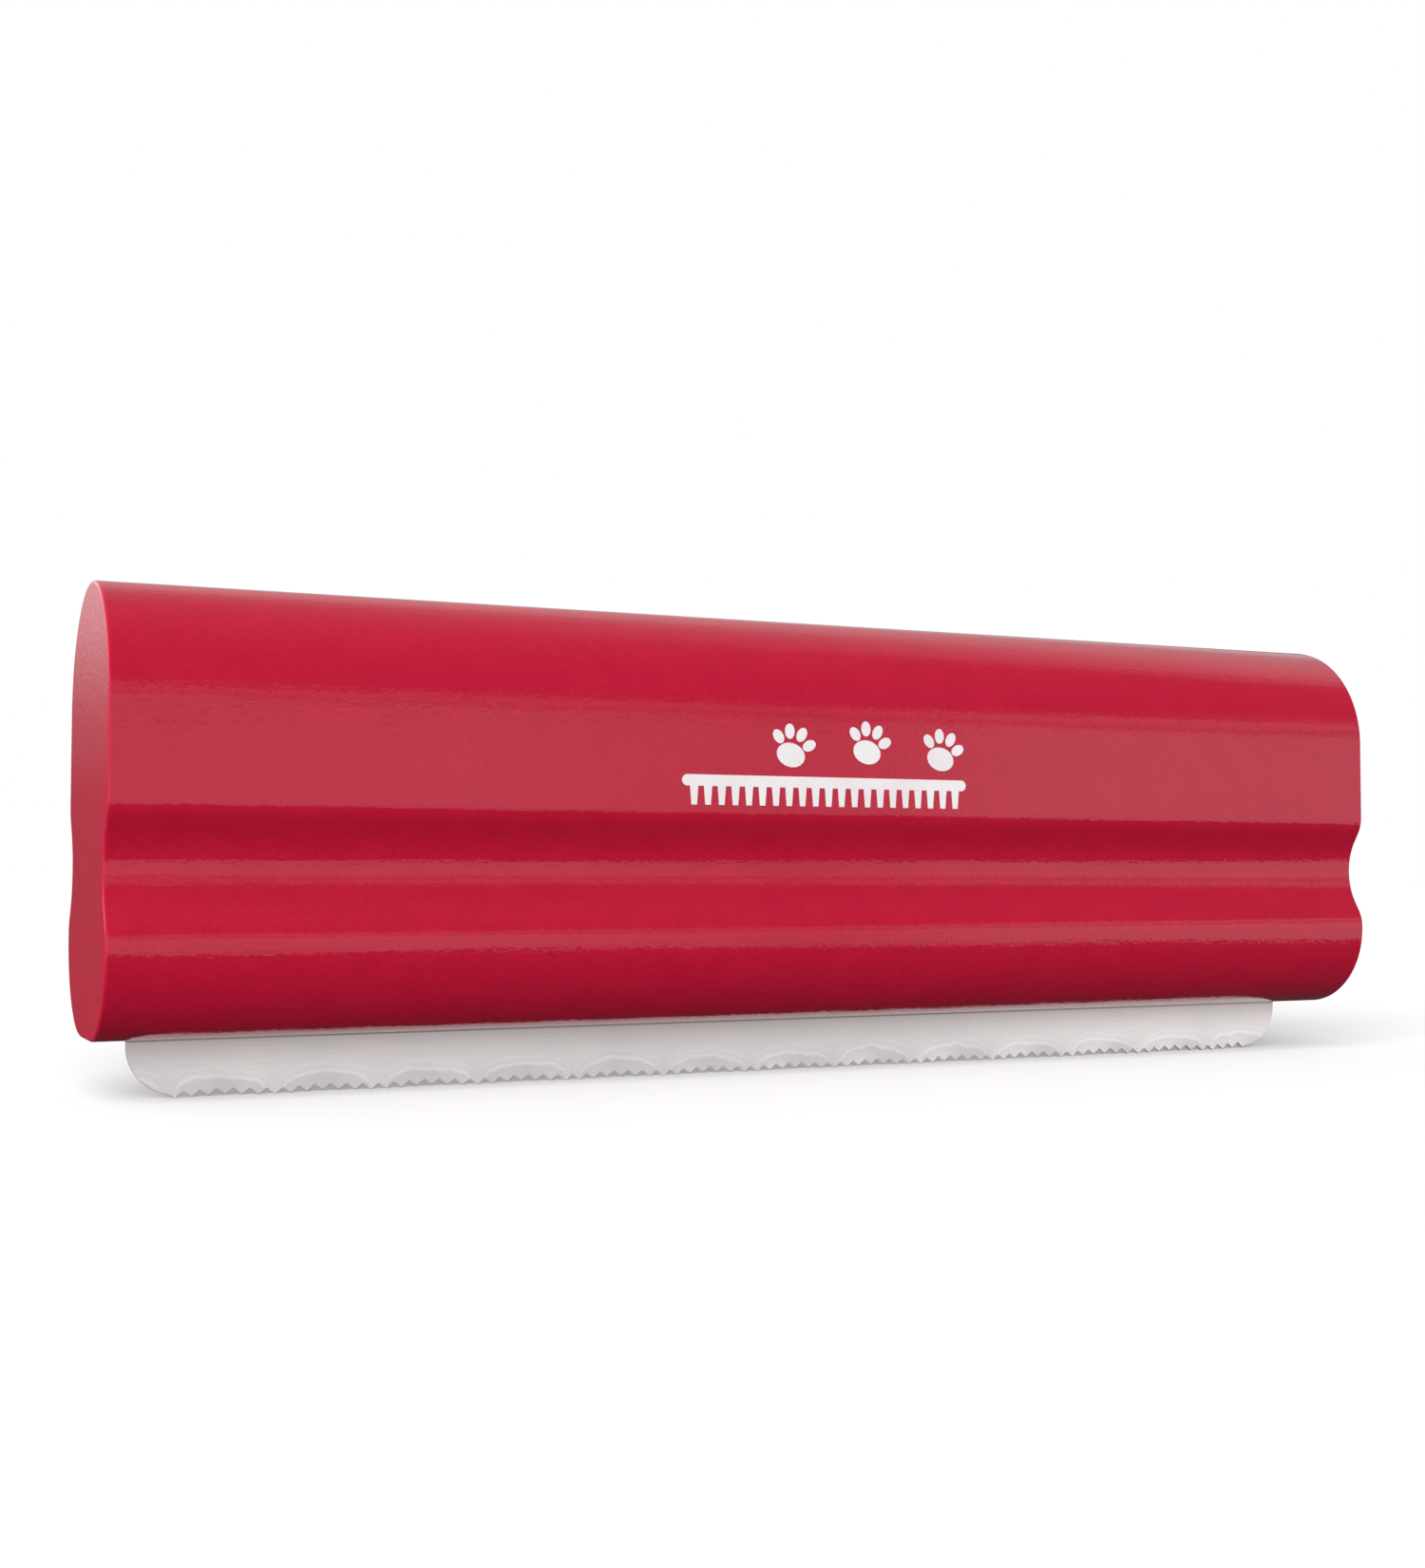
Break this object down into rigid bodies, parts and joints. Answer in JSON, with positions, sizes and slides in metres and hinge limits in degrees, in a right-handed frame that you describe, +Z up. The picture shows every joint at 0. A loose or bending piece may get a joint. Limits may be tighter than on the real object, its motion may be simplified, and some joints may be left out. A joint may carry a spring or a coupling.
{
  "type": "de-shedding grooming blade",
  "caption": "Bar-handled de-shedding groomer: moulded red-painted handle with finger grooves and a wave-set toothed steel strip bedded in a kerf underneath.",
  "frame": {"origin": "under the middle of the tool, on the plane that the tooth tips stand on", "axes": "+X along the handle to the right as seen from the front, -Y out of the front (printed) face, +Z up from the teeth to the handle's round top"},
  "size_m": [0.2286, 0.0376, 0.0768],
  "materials": {
    "handle_paint": "hardwood under thick gloss crimson paint",
    "blade_steel": "thin spring steel strip, rolled satin finish",
    "epoxy": "cured amber epoxy",
    "mark_ink": "white pad-printed ink"
  },
  "bodies": {
    "root": {"handle": "handle_paint", "blade": "blade_steel", "adhesive": "epoxy"}
  },
  "joints": []
}
